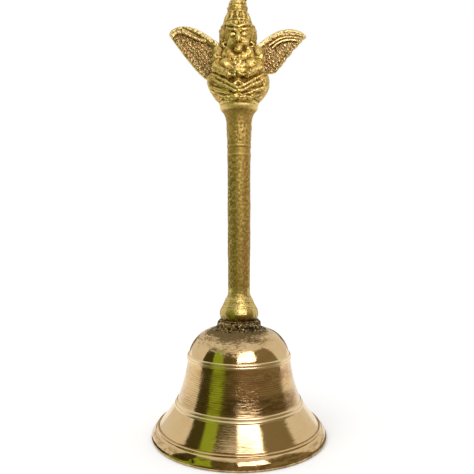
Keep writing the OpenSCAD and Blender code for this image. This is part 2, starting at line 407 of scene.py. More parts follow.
def sculpt_torso(clay):
    """The chest, shoulders and belly, with a belt and two strings of beads."""
    clay.ball((0, -1.0, 135.8), (6.4, 5.0, 4.2), 0.6)
    clay.ball((0, -0.4, 141.4), (6.7, 4.7, 5.2), 1.2)
    clay.limb((0, 0.6, 134), 4.2, (0, 0.9, 144), 4.4, 1.0)
    for _, at in BOTH:
        clay.ball(at(2.7, -3.4, 142.4), (2.5, 1.9, 2.1), 0.9)
        clay.ball(at(6.6, 0.0, 144.2), (2.8, 2.7, 2.5), 0.9)
    clay.limb((0, -0.6, 144), 3.3, (0, -0.6, 148), 3.0, 0.8)
    clay.ball((-0.3, -2.2, 140.8), (5.2, 3.0, 3.2), 0.9)
    for _, at in BOTH:
        clay.limb(at(3.4, -3.8, 144.6), 1.5, at(5.6, -2.8, 141.0), 1.6, 0.5)
        clay.ball(at(4.6, -4.3, 138.2), (2.8, 1.9, 2.9), 0.7)
    belt = [around(angle, 6.55, 5.6, 133.9 + 0.5 * math.cos(2 * angle), centre_y=-0.6)
            for angle in np.linspace(0, TURN, 49)]
    clay.tube(belt, 0.55, 0.15)
    for height, spread, drop, size in ((143.0, 5.2, 2.6, 0.5), (141.6, 5.9, 2.4, 0.55)):
        for t in np.linspace(-1, 1, 17):
            sag = drop * (1 - t ** 2)
            bead = around(1.1 * t, spread * 1.15, 3.8 + 0.3 * sag, height - sag, centre_y=-0.7)
            clay.ball(bead, size, 0.08)


def sculpt_arms(clay):
    """Arms bent up to the chest, with bands and bracelets, and hands closed round a lotus bud."""
    for side, at in BOTH:
        shoulder, elbow, wrist = at(7.3, -0.5, 144.6), at(7.8, -4.2, 137.2), at(3.0, -7.6, 134.0)
        clay.limb(shoulder, 2.35, elbow, 1.85, 0.5)
        clay.limb(elbow, 1.9, wrist, 1.25, 0.35)
        upper = np.array(shoulder) * 0.55 + np.array(elbow) * 0.45
        for offset, size in ((-0.5, 0.36), (0.0, 0.5), (0.5, 0.36)):
            clay.ball(upper + (0, 0, offset), (2.3 + size, 2.3 + size, size), 0.1)
        clay.ball(upper + (side * 0.9, -2.2, 0.3), (0.9, 0.6, 1.3), 0.12)
        for share in (0.72, 0.88):
            clay.ball(np.array(elbow) * (1 - share) + np.array(wrist) * share, (0.55, 1.85, 1.85), 0.12)
        for k in range(4):
            knuckle, tip = at(2.7, -8.2 - 0.1 * k, 134.0 + 0.95 * k), at(1.2, -9.1, 133.6 + 1.05 * k)
            clay.limb(knuckle, 0.55, tip, 0.4, 0.12)
    clay.ball((-0.3, -7.3, 136.0), (3.2, 2.2, 3.5), 0.3)
    clay.ball((-0.3, -7.2, 131.2), (2.0, 1.3, 2.4), 0.4)
    for k in range(7):
        angle = TURN * k / 7 + 0.4
        petal = (-0.3 + 2.0 * math.cos(angle), -8.7, 136.3 + 2.1 * math.sin(angle))
        clay.ball(petal, (0.95, 0.75, 1.0), 0.25)
    clay.ball((-0.3, -9.0, 136.3), (1.9, 0.75, 1.9), 0.3)


def sculpt_face(clay):
    """A calm, plain face of even proportions, with a short curved beak for a nose."""
    eye_z, beak_z, mouth_z, chin_z = 149.2, 146.6, 145.2, 143.8
    clay.ball((-0.2, -1.0, 150.2), (5.8, 5.3, 6.0), 0.6)
    clay.ball((-0.3, -3.2, 148.0), (4.0, 3.8, 5.2), 0.9)
    clay.ball((-0.3, -5.5, chin_z), (1.5, 1.2, 1.0), 0.8)
    clay.limb((-0.3, -6.3, eye_z + 0.6), 0.65, (-0.3, -7.9, beak_z + 0.8), 0.95, 0.5)
    clay.limb((-0.3, -7.9, beak_z + 0.8), 0.95, (-0.3, -8.2, beak_z - 0.3), 0.5, 0.3)
    for _, at in BOTH:
        clay.dig(at(2.1, -6.1, eye_z), (1.8, 1.0, 1.2), 0.3)
        clay.ball(at(2.1, -5.5, eye_z), (1.35, 0.9, 0.8), 0.06)
        lid = [at(x, -6.05 + 0.14 * abs(x - 2.0), eye_z + h)
               for x, h in ((0.85, 0.1), (1.4, 0.55), (2.1, 0.72), (2.75, 0.55), (3.4, 0.08))]
        clay.tube(lid, (0.16, 0.24, 0.26, 0.24, 0.14), 0.08)
        under = [at(x, -5.9 + 0.16 * abs(x - 2.0), eye_z - h)
                 for x, h in ((0.9, 0.12), (2.1, 0.66), (3.2, 0.1))]
        clay.tube(under, 0.17, 0.08)
        brow = [at(x, -6.25 + 0.22 * (x - 1.2) ** 2 / 2, eye_z + h)
                for x, h in ((0.5, 1.2), (1.5, 1.75), (2.6, 1.95), (4.2, 2.6))]
        clay.tube(brow, (0.4, 0.55, 0.5, 0.3), 0.25)
        clay.ball(at(2.5, -4.9, 146.5), (1.5, 1.35, 1.6), 0.7)
        clay.ball(at(0.9, -7.0, beak_z + 0.1), (0.55, 0.6, 0.5), 0.2)
    for height, thick in ((0.05, 0.3), (-0.6, 0.36)):
        lips = [(x, -6.2 + 0.16 * abs(x), mouth_z + height) for x in (-1.5, -0.5, 0.5, 1.5)]
        clay.tube(lips, (0.15, thick, thick, 0.15), 0.1)


def sculpt_hair(clay):
    """Curled hair at both sides and behind, with ears and ear rings before it."""
    for side, at in BOTH:
        clay.ball(at(4.8, 0.6, 150.8), (2.3, 4.2, 4.3), 0.8)
        clay.ball(at(4.6, 0.6, 146.2), (2.3, 3.2, 3.0), 0.8)
        for row, column in np.ndindex(8, 5):
            angle = side * (1.05 + 0.30 * column + 0.15 * (row % 2))
            reach = 6.55 - 0.35 * max(row - 4, 0) - 0.5 * max(1 - row, 0)
            curl = np.array(around(angle, reach, 4.6, 153.9 - 1.35 * row, FIGURE_LEAN, 0.3))
            clay.ball(curl, 0.74, 0.15)
            clay.dig(curl + (0.75 * side, -0.6 * math.cos(angle), 0), 0.3, 0.12)
        clay.ball(at(4.75, -2.9, 148.9), (0.7, 0.8, 1.7), 0.15)
        clay.dig(at(4.95, -3.6, 149.1), (0.3, 0.45, 0.9), 0.1)
        clay.add(torus(at(4.8, -3.3, 146.4), 0.8, 0.4, "y"), 0.2)
    clay.ball((0, 3.4, 149.6), (5.2, 2.8, 5.6), 0.9)
    for k in range(-4, 5):
        lock = [(1.15 * k, 5.6 - 0.09 * k * k, 153.6), (1.2 * k, 6.35 - 0.1 * k * k, 150.0),
                (1.05 * k, 5.5 - 0.09 * k * k, 145.6 + 0.1 * abs(k))]
        clay.tube(lock, (0.6, 0.66, 0.45), 0.14)


def upright(clay, count, start, rows, thick):
    """Rods that stand round the crown; each row is (turn, half width, half depth, height)."""
    for k in range(count):
        angle = TURN * (k + start) / count
        path = [around(angle + turn, rx, ry, z, CROWN_LEAN) for turn, rx, ry, z in rows]
        clay.tube(path, thick, 0.12)


def sculpt_crown(clay):
    """A tall crown: a hood of combed hair, a drum of standing leaves, a plain band and a bud."""
    clay.add(oval_stack([
        (152.4, 5.9, 5.5), (154.6, 5.85, 5.4), (155.4, 5.3, 5.0), (156.2, 4.9, 4.6), (157.4, 4.45, 4.3),
        (158.8, 3.95, 3.9), (159.1, 3.8, 3.75), (161.0, 3.75, 3.7), (161.3, 3.5, 3.5), (163.2, 3.35, 3.3),
        (163.6, 3.0, 3.0), (164.1, 2.8, 2.7)
    ], CROWN_LEAN), 0.2)
    locks = [(0, 5.95, 5.5, 151.6), (0, 5.75, 5.35, 154.0), (0.06, 5.1, 4.8, 155.3)]
    upright(clay, 22, 0.5, locks, (0.3, 0.46, 0.3))
    for height, rx, thick in ((155.5, 5.15, 0.38), (158.95, 3.9, 0.3), (161.1, 3.7, 0.3)):
        clay.tube(hoop(40, rx, rx - 0.15, height, CROWN_LEAN), thick, 0.12)
    leaves = [(0, 4.85, 4.6, 155.8), (0, 4.4, 4.25, 157.2), (0, 3.9, 3.9, 158.6)]
    upright(clay, 13, 0, leaves, (0.6, 0.62, 0.42))
    for _, at in BOTH:
        clay.tube([(-0.3, -6.3, 151.9), at(2.3, -5.9, 153.0), at(4.9, -4.3, 153.6)], (0.5, 0.55, 0.35), 0.15)
    clay.ball((-0.2, 0, 164.7), (3.0, 2.9, 1.2), 0.2)
    clay.ball((-0.1, 0, 165.2), (2.1, 2.0, 1.2), 0.25)
    for k in range(8):
        clay.ball(around(TURN * k / 8, 2.45, 2.35, 164.6), (0.7, 0.7, 0.8), 0.12)


def sculpt_back(clay):
    """The flat back that carries the wings, with a sash and rows of short feathers."""
    clay.ball((0, 2.4, 141.5), (7.2, 2.7, 6.4), 0.8)
    for _, at in BOTH:
        clay.limb(at(5.2, 2.6, 146.0), 1.9, at(7.0, 2.6, 138.0), 2.1, 0.7)
    for row, column in np.ndindex(5, 7):
        x = 1.75 * (column - 3 + 0.5 * (row % 2))
        clay.ball((x, 4.85 - 0.055 * x * x, 143.6 - 1.7 * row), (0.95, 0.7, 1.25), 0.06)
    clay.tube([(-5.2, 4.2, 134.4), (0, 6.0, 133.4), (5.2, 4.2, 134.4)], 0.7, 0.2)
    clay.ball((0, 6.3, 133.2), (1.3, 0.9, 1.0), 0.2)
    for _, at in BOTH:
        clay.tube([(0, 6.5, 133.0), at(1.2, 7.3, 130.2), at(2.0, 7.3, 127.9)], (0.6, 0.75, 0.9), 0.2)


def sculpt_figure():
    clay = Clay((-13, -11.2, SPIGOT_Z - 0.4), (13, 9.0, TOP_Z + 0.3), FIGURE_STEP)
    for sculpt in (sculpt_seat, sculpt_torso, sculpt_back, sculpt_legs, sculpt_arms, sculpt_hair, sculpt_face,
                   sculpt_crown):
        sculpt(clay)
    points, faces = clay.skin()
    points = rough(points, faces, 0.15, 1.6, 61)
    return rough(points, faces, 0.07, 0.7, 67), faces


# ---------- the wings ----------

WING_STEP = 0.15
CREST_POINTS, TIP_POINTS, TAIL_POINTS = 16, 12, 14
TOP_EDGE = slice(0, CREST_POINTS + TIP_POINTS - 1)
LOWER_EDGE = slice(TOP_EDGE.stop - 1, TOP_EDGE.stop + TAIL_POINTS)
ROLL_DROP = (0, 1.35)


def wing_shape(side, low, high):
    """The outline of one wing as points (x, z), and its tip and tail."""
    if side < 0:
        crest, tip, tail = (-20.6, high[2]), (low[0], 152.2), (-12.6, 135.2)
        tip_bend, tail_bend = 1.3, 4.3
    else:
        crest, tip, tail = (18.7, high[2]), (high[0], 151.2), (14.2, 137.7)
        tip_bend, tail_bend = 2.8, 2.2
    crest, tip, tail, root = np.array(crest), np.array(tip), np.array(tail), np.array((side * 5.2, 147.0))
    outline = np.concatenate([
        cubic(root, root + (side * 4, 3.2), crest - (side * 5, 0.2), crest, CREST_POINTS),
        cubic(crest, crest + (side * 3.4, 0.1), tip + (-side * 0.4, 1.8), tip, TIP_POINTS)[1:],
        cubic(tip, tip - (side * tip_bend, 1.9), tail + (side * tail_bend, 2.7), tail, TAIL_POINTS)[1:],
        [(side * 5.2, 136.6)]
    ])
    return outline, tip, tail


def nearest(a, b, x, z):
    """The share of the way from a to b that is nearest each (x, z), and the offset from there."""
    span = b - a
    t = np.clip(((x - a[0]) * span[0] + (z - a[1]) * span[1]) / max(span @ span, 1e-9), 0, 1)
    return t, x - a[0] - t * span[0], z - a[1] - t * span[1]


def outline_distance(outline, x, z):
    """Signed distance from each (x, z) to a closed outline, negative inside."""
    near = np.full(np.broadcast(x, z).shape, 1e9)
    inside = np.zeros(near.shape, bool)
    for a, b in zip(outline, np.roll(outline, -1, axis=0)):
        _, across, up = nearest(a, b, x, z)
        near = np.minimum(near, across ** 2 + up ** 2)
        crosses = (a[1] > z) != (b[1] > z)
        inside ^= crosses & (x < a[0] + (z - a[1]) * (b[0] - a[0]) / ((b[1] - a[1]) or 1e-9))
    return np.where(inside, -1, 1) * np.sqrt(near)


def line_distance(path, x, z):
    """Distance from each (x, z) to a path, and the share of the path's length at the nearest point."""
    near, share = np.full(np.broadcast(x, z).shape, 1e9), np.zeros(np.broadcast(x, z).shape)
    steps = np.linalg.norm(np.diff(path, axis=0), axis=1)
    start = np.concatenate([[0], np.cumsum(steps)])
    for k, (a, b) in enumerate(zip(path, path[1:])):
        t, across, up = nearest(a, b, x, z)
        gap = np.hypot(across, up)
        share = np.where(gap < near, (start[k] + t * steps[k]) / start[-1], share)
        near = np.minimum(near, gap)
    return near, share


def sheet_lumps(x, z, size, seed):
    """Smooth noise at each (x, z) of a flat sheet."""
    x, z = np.broadcast_arrays(x, z)
    spots = np.stack([x.ravel(), np.zeros(x.size), z.ravel()], 1)
    return lumps(spots, size, seed).reshape(x.shape)


def feather_net(side, tip, tail, x, z):
    """Heights of the web's net of feathers, in mm: rings on the left, slanted barbs on the right."""
    along = (tail - tip) / np.linalg.norm(tail - tip)
    u = (x - tip[0]) * along[0] + (z - tip[1]) * along[1] + 0.6 * sheet_lumps(x, z, 1.8, 81)
    v = ((x - tip[0]) * -along[1] + (z - tip[1]) * along[0]) * -side + 0.6 * sheet_lumps(x, z, 1.8, 82)
    cell_u = (u / 1.75 + 0.5 * (np.floor(v / 1.55) % 2)) % 1 - 0.5
    cell_v = (v / 1.55) % 1 - 0.5
    if side < 0:
        ring = np.hypot(cell_u, cell_v)
        height = 0.42 * hump((ring - 0.26) / 0.14) + 0.1 * hump(ring / 0.1)
    else:
        slant = np.abs((u / 1.3 + v / 1.9 + 0.5 * np.sin(v * 2.2)) % 1 - 0.5)
        height = 0.42 * smoothstep(slant, 0.1, 0.36) * smoothstep(np.abs(cell_v), 0.5, 0.22)
    return height * (0.75 + 0.45 * sheet_lumps(x, z, 1.2, 83 if side < 0 else 84))


def wing_lines(side):
    """The raised lines along the top of a wing and their half width, and its grooves."""
    if side < 0:
        inner = cubic((-25.2, 151.4), (-22.6, 154.6), (-19.6, 151.6), (-13.2, 149.4), 20)
        upper = cubic((-21.4, 154.4), (-19.6, 153.6), (-17.4, 152.2), (-15.0, 151.3), 12)
        return [inner], 0.45, [upper]
    beads = [cubic((10.4 + 1.2 * k, 148.9 - 0.95 * k), (15.5, 152.2 - k), (19.6, 153.0 - 1.15 * k),
                   (24.6 - 0.35 * k, 150.6 - 0.75 * k), 20) for k in range(3)]
    return beads, 0.36, []


def wing_relief(side, outline, tip, tail, edge, x, z):
    """Height of a wing's face above its web, in mm, at each (x, z); edge is negative inside the outline."""
    height = feather_net(side, tip, tail, x, z)
    roll, share = line_distance(outline[TOP_EDGE] - ROLL_DROP, x, z)
    roll_r = (2.0 if side < 0 else 1.5) - 0.4 * share
    height = np.where(roll < roll_r, 0, height) + 0.95 * dome(roll / roll_r)
    beads, wide, grooves = wing_lines(side)
    for line in beads:
        gap, _ = line_distance(line, x, z)
        bead = np.maximum(height, wide + 0.35 * dome(gap / (wide * 1.4)))
        height = np.where(gap < wide * 1.4, bead, height) - 0.16 * hump((gap - wide * 1.75) / 0.16)
    for line in grooves:
        height = height - 0.4 * hump(line_distance(line, x, z)[0] / 0.3)
    hem, share = line_distance(outline[LOWER_EDGE], x, z)
    hem_beads = np.abs((share * 17) % 1 - 0.5)
    height = height + 0.26 * hump((hem - 0.75) / 0.36) * smoothstep(hem_beads, 0.5, 0.25)
    return height * smoothstep(-edge, 0.0, 0.45)


def sculpt_wing(side):
    """One cast wing: a thin web with a rolled leading edge and feathers on both faces."""
    low, high = box_of("left_wing" if side < 0 else "right_wing")
    margin = np.array((0.9, 0.7, 0.9))
    clay = Clay(low - margin, high + margin, WING_STEP)
    outline, tip, tail = wing_shape(side, low, high)
    x, z = clay.axes[0][:, None], clay.axes[2][None, :]
    edge = outline_distance(outline, x, z)
    relief = wing_relief(side, outline, tip, tail, edge, x, z)
    if side > 0:
        lower = line_distance(outline[LOWER_EDGE], x, z)[0] < 0.8
        edge = edge - 0.5 * hump(edge / 0.5) * lower * np.clip(sheet_lumps(x, z, 0.9, 7), -0.2, 1)
    edge = edge[:, None, :]
    middle, half, round_r = high[1] - 1.1, 0.72, 0.5
    y = clay.axes[1][None, :, None]
    thick = np.abs(y - middle) - half - np.where(y < middle, 1.0, 0.7) * relief[:, None, :]
    a, b = np.maximum(edge + round_r, 0), np.maximum(thick + round_r, 0)
    block = np.minimum(np.maximum(edge, thick) + round_r, 0) + np.sqrt(a * a + b * b) - round_r
    clay.d = block.astype(np.float32)
    points, faces = clay.skin()
    points = rough(points, faces, 0.07, 1.3, 71 + side)
    roll = line_distance(outline[TOP_EDGE] - ROLL_DROP, points[:, 0], points[:, 2])[0]
    # Where the painted sheen goes: along the rolled edge, in patches.
    painted_sheen = smoothstep(roll, 2.1, 1.3) * smoothstep(lumps(points, 2.5, 91), -0.9, -0.1)
    return rough(points, faces, 0.07, 0.55, 77 + side), faces, [], painted_sheen


# ---------- the bell cup ----------

BEND = (LIP_R - 9.3, 13.2)
SHOULDER = (LIP_R - 13.6, 30.2)


def carved(outline, beads, grooves):
    """The same outline with round beads and soft grooves, each (place, half width, height or depth)."""
    fine = resampled(outline, 0.03)
    run = np.concatenate([[0], np.cumsum(np.linalg.norm(np.diff(fine, axis=0), axis=1))])
    marks = [(run[np.linalg.norm(fine - place, axis=1).argmin()], half, size)
             for place, half, size in beads + grooves]
    stations = [0]
    while stations[-1] < run[-1]:
        gap = min(abs(stations[-1] - at) - 2 * half for at, half, _ in marks)
        stations.append(stations[-1] + (0.07 if gap < 0.3 else 0.4))
    stations = np.array(stations[:-1] + [run[-1]])
    points = np.stack([np.interp(stations, run, fine[:, k]) for k in (0, 1)], axis=1)
    ahead = np.gradient(points, axis=0)
    out = np.stack([ahead[:, 1], -ahead[:, 0]], axis=1) / np.linalg.norm(ahead, axis=1, keepdims=True)
    rise = np.zeros(len(stations))
    for at, half, height in marks[:len(beads)]:
        rise = np.maximum(rise, height * dome((stations - at) / half))
    for at, half, depth in marks[len(beads):]:
        rise -= depth * hump((stations - at) / half)
    return points + out * rise[:, None]


def cup_outside():
    """The cup's section up the outside: lip, almost conical flare, waist and crown, with turned beads."""
    lip = cubic((LIP_R - 0.8, 0.02), (LIP_R + 0.3, 0), (LIP_R + 0.6, 2.0), (LIP_R - 2.1, 4.3), 26)
    flare = cubic((LIP_R - 2.9, 4.7), (27.7, 7.65), (25.45, 10.65), BEND, 30)
    waist = cubic(BEND, (21.3, 18.2), (SHOULDER[0] + 0.2, 25.2), SHOULDER, 40)
    crown = cubic(SHOULDER, (SHOULDER[0] - 0.15, 31.2), (17.4, CUP_H - 0.6), (9, CUP_H), 40)
    beads = []
    for middle, lean in ((BEND, 28), (SHOULDER, 2)):
        along = np.array((-math.sin(math.radians(lean)), math.cos(math.radians(lean))))
        beads += [(middle + k * 0.54 * along, 0.56, 0.27) for k in SIDES]
    beads += [((LIP_R - 2.45, 4.5), 0.42, 0.3)]
    grooves = [((LIP_R - 2.95, 4.78), 0.16, 0.2), ((LIP_R - 1.85, 4.15), 0.16, 0.1)]
    return carved(np.concatenate([lip, flare, waist[1:], crown[1:]]), beads, grooves)


def cup_outline():
    """The whole section: up the outside, over the crown, through the stud's hole and down the inside."""
    mouth, waist, crown = LIP_R - 2.9, LIP_R - 13.6, CUP_H - 2.4
    top = [(8, CUP_H), (5, CUP_H), (2.3, CUP_H), (2.2, CUP_H - 0.1)]
    hole = [(2.2, crown + 0.1), (2.3, crown), (5, crown)]
    inside = np.concatenate([
        cubic((8, crown), (12.6, crown - 0.3), (waist - 3, 35.6), (waist - 2.2, 31.2), 22),
        cubic((waist - 2.2, 30.8), (waist - 1.9, 21), (21.3, 10.2), (mouth - 1.9, 3.2), 44)
    ])
    foot = [(LIP_R - 3.3, 0.8), (LIP_R - 2.9, 0.12), (LIP_R - 2.76, 0.02)]
    return np.concatenate([cup_outside(), top, hole, inside, foot])


def wall_at(height):
    """About how far the cup's outside is from the axis."""
    return np.interp(height, (6, 13.8, 20, 30, 36, 38), (29.1, 23.4, 21.1, 19.4, 17.4, 15.4))


def make_cup():
    """The cup, slightly wavy from the lathe, with dents most of all along its lip."""
    points, faces = turned(cup_outline(), 288, closed=True)
    normals = point_normals(points, faces)
    wobble = 0.03 * lumps(points, 9.0, 3) + 0.012 * lumps(points, 3.0, 4)
    points = points + normals * wobble[:, None]
    rng = np.random.default_rng(11)
    spots = [((20.6, -18.6, 5.6), 0.45, 0.16), ((18.9, -20.4, 6.4), 0.3, 0.1)]
    spots += scattered(rng, 26, (0.2, 3.6), lambda height: LIP_R, (0.3, 0.7), (0.05, 0.16))
    spots += scattered(rng, 30, (6, 38), wall_at, (0.3, 0.6), (0.02, 0.06))
    points = dented(points, normals, spots)
    points[:, 2] = np.maximum(points[:, 2], 0.01)
    return points, faces


# ---------- boss, brazing and handle ----------

GRIP_R = 4.18


def make_boss():
    """The blackened boss between the cup and the handle."""
    outline = resampled([
        (0.05, CUP_H - 0.3), (8.5, CUP_H - 0.3), (8.55, CUP_H + 0.2), (8.45, CUP_H + 0.8), (8.2, CUP_H + 1.3),
        (8.3, CUP_H + 1.9), (8.1, FOOT_Z - 0.5), (7.5, FOOT_Z - 0.08), (0.05, FOOT_Z - 0.02)
    ], 0.16)
    sides = 260
    points, faces = turned(outline, sides)
    keep = smoothstep(radius_of(points), 6.4, 7.8)
    points = rough(points, faces, 0.28, 1.7, 21, keep)
    return rough(points, faces, 0.1, 0.6, 22, keep), faces, caps(points, sides)


def make_braze(base, section, seed):
    """Brazing metal that has run unevenly round a joint, from its (r, z) section above a base."""
    outline = resampled([(r, base + z) for r, z in section], 0.14, closed=True)
    points, faces = turned(outline, 300, closed=True)
    radius = radius_of(points)
    inner = radius.min()
    spot = points / radius[:, None] * (1, 1, 0)
    reach = 1 + 0.3 * grain(spot, 0.42, seed, 3)
    points = widened(points, (inner + (radius - inner) * reach) / radius)
    return rough(points, faces, 0.08, 0.7, seed + 5), faces


CROWN_RUN = [(8.2, -0.3), (9.6, -0.35), (10.3, -0.12), (9.8, 0.08), (9.2, 0.28), (8.75, 0.6), (8.2, 0.66)]
NECK_RUN = [(6.3, -0.02), (7.5, -0.05), (7.5, 0.15), (7.15, 0.35), (6.85, 0.45), (6.3, 0.4)]


def handle_outline():
    """The handle's section: foot bulb, shaft with two turned rings, and flare under the figure."""
    bulb = [(6.6, 0.05), (6.8, 0.6), (7.15, 1.4), (7.35, 2.2), (7.35, 3.0), (7.1, 3.9), (6.7, 4.8),
            (6.32, 5.45), (6.3, 5.7), (6.05, 5.95), (5.75, 6.6), (5.45, 7.1), (5.48, 7.4), (5.2, 7.75),
            (5.18, 8.0), (4.8, 8.6), (GRIP_R + 0.22, 9.3), (GRIP_R, 10.5)]
    shaft = [(0, 70), (0.08, 87), (0.16, 105.3), (0.24, 105.55), (0.28, 105.85), (0.24, 106.2), (0.16, 106.5),
             (0.2, 108.6), (0.36, 108.9), (0.42, 109.2), (0.36, 109.55), (0.26, 109.9), (0.4, 113)]
    return np.concatenate([
        [(0.05, FOOT_Z), (6.4, FOOT_Z)],
        [(radius, FOOT_Z + height) for radius, height in bulb],
        [(GRIP_R + more, height) for more, height in shaft],
        cubic((GRIP_R + 0.46, 117.4), (GRIP_R + 0.7, 120), (GRIP_R + 1.3, 121.6), (6.3, 122.35), 16),
        [(6.7, 122.75), (6.98, 123.15), (7.12, 123.65), (7.08, 124.15), (6.85, SEAT_Z - 0.06)],
        [(6.65, SEAT_Z - 0.02), (3.2, SEAT_Z - 0.02), (0.05, SEAT_Z - 0.02)]
    ])


def make_handle():
    """The cast handle, with file marks, pits and the mould's parting line at its sides."""
    sides = 200
    points, faces = turned(resampled(handle_outline(), 0.26), sides)
    radius, z = radius_of(points), points[:, 2]
    angle = np.arctan2(points[:, 1], points[:, 0])
    skin = smoothstep(radius, 3.4, 4.1)
    shaft = smoothstep(z, 53, 56) * (1 - smoothstep(z, 117, 119.5))
    top = smoothstep(z, 109, 111) + 0.7 * (1 - smoothstep(z, 51, 54))
    filed = 0.045 * grain(points * (1, 1, 0.35), 2.4, 31, 2)
    filed = filed + (0.045 + 0.07 * top) * grain(points, 0.75, 32, 2)
    pitted = smoothstep(lumps(points, 4.0, 34), -0.1, 0.5)
    pits = -0.12 * smoothstep(lumps(points, 0.5, 33), 0.62, 0.95) * pitted
    seam_gap = np.minimum(np.abs(angle), np.abs(np.abs(angle) - math.pi)) * radius
    seam = 0.1 * hump(seam_gap / 0.35) * smoothstep(lumps(points * (0, 0, 1), 5.0, 35), -0.4, 0.5)
    height = skin * (filed * (0.6 + 0.4 * shaft) + pits * (0.4 + 0.6 * shaft) + seam * shaft)
    return points + point_normals(points, faces) * height[:, None], faces, caps(points, sides)


# ---------- hanger and clapper ----------

STUD_R = 1.95
PITCH = 0.7


def make_eye_bolt():
    """A stud with a rolled thread, and an eye bent from the same wire."""
    low, high = box_of("eye_bolt")
    eye_r, wire_r = 2.6, 1.0
    eye_z = low[2] + eye_r + wire_r
    clay = Clay((-2.6, *low[1:] - 0.4), (2.6, *high[1:] + 0.4), 0.11)
    clay.add(torus((0, 0, eye_z), eye_r, wire_r, "x"), 0)
    neck = eye_z + eye_r + wire_r - 0.3
    clay.limb((0, 0, neck - 0.4), 1.2, (0, 0, neck + 0.6), 1.5, 0.5)
    clay.dig((0, 1.3, eye_z - eye_r + 0.2), (1.3, 0.05, 1.4), 0.05)

    def thread(x, y, z):
        turn = (z / PITCH - np.arctan2(y, x) / TURN) % 1
        depth = 0.42 * np.abs(turn - 0.5) * 2
        end = smoothstep(z, high[2] - 0.9, high[2])
        side = np.hypot(x, y) - (STUD_R - depth - 0.4 * end)
        return np.maximum(side, np.maximum(neck + 0.2 - z, z - high[2]))

    clay.add((thread, np.array((-2, -2, neck)), np.array((2, 2, high[2]))), 0.04)
    return clay.skin()


def make_clapper_rod():
    """A forged eye, a plain rod, and a tail that is hammered over under the ball."""
    low, high = box_of("clapper_rod")
    eye_r, wire_r, rod_r = 2.2, 0.9, 1.25
    eye_z = high[2] - eye_r - wire_r
    ball_top = box_of("clapper_ball")[1][2]
    clay = Clay((-2.3, low[1] - 0.4, low[2] - 0.3), (2.3, high[1] + 0.4, high[2] + 0.4), 0.1)
    clay.add(torus((0, 0, eye_z), eye_r, wire_r, "x"), 0)
    clay.limb((0, 0, low[2] + 1.4), rod_r, (0, 0, eye_z - eye_r - 0.9), 1.05, 0.5)
    clay.ball((0, 0, low[2] + 0.55), (1.75, 1.75, 0.55), 0.15)
    clay.ball((0, 0, ball_top + 0.15), (1.75, 1.75, 0.4), 0.25)
    clay.dig((0, 1.1, eye_z - eye_r - 0.1), (1.2, 0.05, 1.2), 0.05)
    return clay.skin()


def make_link_ring():
    """A ring of wire with its two ends butted together."""
    low, high = box_of("link_ring")
    wire_r = (high[1] - low[1]) / 2
    mean_r = high[0] - wire_r
    centre = (0, 0, (low[2] + high[2]) / 2)
    clay = Clay(low - 0.3, high + 0.3, 0.08)
    clay.add(torus(centre, mean_r, wire_r, "y"), 0)
    clay.dig((mean_r * 0.94, 0, centre[2] + mean_r * 0.34), (1.1, 1.1, 0.07), 0.04)
    return clay.skin()


def make_washer():
    low, high = box_of("crown_washer")
    outer, soft = high[0], 0.12
    outline = [(2.2, low[2]), (outer - soft, low[2]), (outer, low[2] + soft), (outer, high[2] - soft),
               (outer - soft, high[2]), (2.2, high[2])]
    return turned(outline, 96, closed=True)


def make_nut():
    """A hexagon nut with its corners turned off and a chamfered bore."""
    low, high = box_of("jam_nut")
    corner, flat, tall = high[0], high[1], high[2] - low[2]
    outline = [(2.3, 0), (flat - 0.15, 0), (flat + 0.2, 0.14), (corner, 0.45), (corner, tall - 0.45),
               (flat + 0.2, tall - 0.14), (flat - 0.15, tall), (2.3, tall), (2.02, tall - 0.25), (2.02, 0.25)]
    points, faces = turned(resampled(outline, 0.18, closed=True) + (0, low[2]), 240, closed=True)
    angle = np.arctan2(points[:, 1], points[:, 0])
    hexagon = flat / np.cos((angle + TURN / 4) % (TURN / 6) - TURN / 12)
    radius = radius_of(points)
    return widened(points, np.minimum(radius, hexagon) / radius), faces


def make_ball():
    """The striking ball, turned, with two fine grooves and dents from use."""
    low, high = box_of("clapper_ball")
    ball_r, middle, bore = high[0], (low[2] + high[2]) / 2, 1.3
    end = math.acos(bore * 1.2 / ball_r)
    outline = [(ball_r * math.cos(a), middle + ball_r * math.sin(a)) for a in np.linspace(-end, end, 90)]
    outline = [(bore, outline[0][1] + 0.2)] + outline + [(bore, outline[-1][1] - 0.2)]
    points, faces = turned(resampled(outline, 0.2, closed=True), 160, closed=True)
    normals = point_normals(points, faces)
    groove = 0.09 * hump((np.abs(points[:, 2] - middle) - 0.45) / 0.12)
    points = points - normals * groove[:, None]
    spots = scattered(np.random.default_rng(5), 36, (-3.2, 3.2),
                      lambda height: math.sqrt(ball_r ** 2 - height ** 2), (0.35, 0.9), (0.03, 0.12), middle)
    return dented(points, normals, spots), faces


# ---------- materials ----------

class Value:
    """A number, colour or direction that varies over the surface; arithmetic on it makes nodes."""

    def __init__(self, shader, socket):
        self.shader = shader
        self.socket = socket

    def maths(self, operation, other=0.0, clamp=False):
        return self.shader.node("Math", {0: self, 1: other}, operation=operation, use_clamp=clamp)

    def __add__(self, other):
        return self.maths("ADD", other)

    def __sub__(self, other):
        return self.maths("SUBTRACT", other)

    def __mul__(self, other):
        return self.maths("MULTIPLY", other)

    def __truediv__(self, other):
        return self.maths("DIVIDE", other)

    def most(self, other):
        return self.maths("MAXIMUM", other)

    def parts(self):
        """The X, Y and Z of a direction or place."""
        split = self.shader.node("SeparateXYZ", {0: self}).socket.node
        return [Value(self.shader, socket) for socket in split.outputs]

    def span(self, low, high, to_low=0.0, to_high=1.0):
        """Goes smoothly from to_low to to_high while the value goes from low to high."""
        ends = {"Value": self, "From Min": low, "From Max": high, "To Min": to_low, "To Max": to_high}
        return self.shader.node("MapRange", ends, interpolation_type="SMOOTHSTEP")

    def band(self, low, high, soft):
        """1 between two values, with soft edges."""
        return self.span(low - soft, low + soft) * self.span(high + soft, high - soft)


